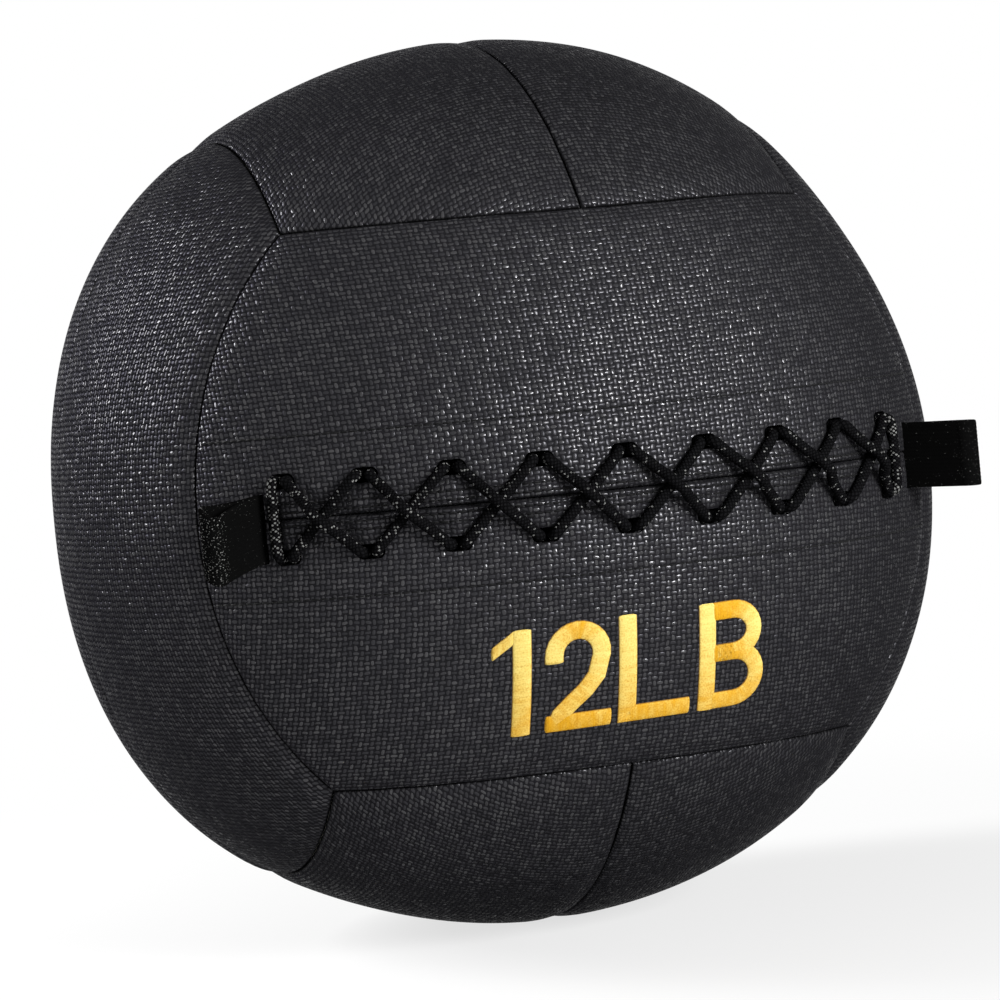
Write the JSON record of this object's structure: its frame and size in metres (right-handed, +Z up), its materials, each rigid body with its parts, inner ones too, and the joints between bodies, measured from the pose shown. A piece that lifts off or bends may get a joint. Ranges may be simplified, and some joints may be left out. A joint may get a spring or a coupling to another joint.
{
  "type": "wall ball",
  "caption": "Soft weighted exercise ball of sewn coated-fabric panels, closed by a laced slit, with a webbing loop at each end of the lacing.",
  "frame": {"origin": "the ball's centre", "axes": "+Z up, out of the top pair of panels; -Y out of the laced front; +X along the lacing, to the right as seen from the front"},
  "size_m": [0.3545, 0.3645, 0.3558],
  "materials": {
    "cover_vinyl": "satin coated weave",
    "facing_vinyl": "satin coated weave",
    "lace_cord": "braided cord, matte",
    "webbing": "woven webbing, matte",
    "canvas": "matte",
    "fibre_fill": "matte",
    "sand": "matte",
    "tie_cord": "matte"
  },
  "bodies": {
    "ball": {"front_upper": "cover_vinyl", "front_lower": "cover_vinyl", "top_left": "cover_vinyl", "top_right": "cover_vinyl", "bottom_left": "cover_vinyl", "bottom_right": "cover_vinyl", "left_front": "cover_vinyl", "left_back": "cover_vinyl", "right_front": "cover_vinyl", "right_back": "cover_vinyl", "back_upper": "cover_vinyl", "back_lower": "cover_vinyl", "upper_facing": "facing_vinyl", "lower_facing": "facing_vinyl", "slit_flap": "facing_vinyl", "lace": "lace_cord", "lace_knot_upper": "lace_cord", "lace_knot_lower": "lace_cord", "left_tab_anchor": "webbing", "right_tab_anchor": "webbing", "lining_bag": "canvas", "padding_front": "fibre_fill", "padding_back": "fibre_fill", "core_bag": "canvas", "core_fill": "sand", "core_tie": "tie_cord"},
    "left_tab": {"left_tab": "webbing"},
    "right_tab": {"right_tab": "webbing"}
  },
  "joints": [
    {"name": "left_tab_flop", "type": "hinge", "parent": "ball", "child": "left_tab", "pos_m": [-0.12936, -0.12846, -0.00308], "axis": [0, 0, 1], "range_deg": [-59, 61], "stiffness_Nm_per_rad": 0.02},
    {"name": "right_tab_flop", "type": "hinge", "parent": "ball", "child": "right_tab", "pos_m": [0.13226, -0.12551, -0.00154], "axis": [0, 0, 1], "range_deg": [-66, 74], "stiffness_Nm_per_rad": 0.02}
  ]
}
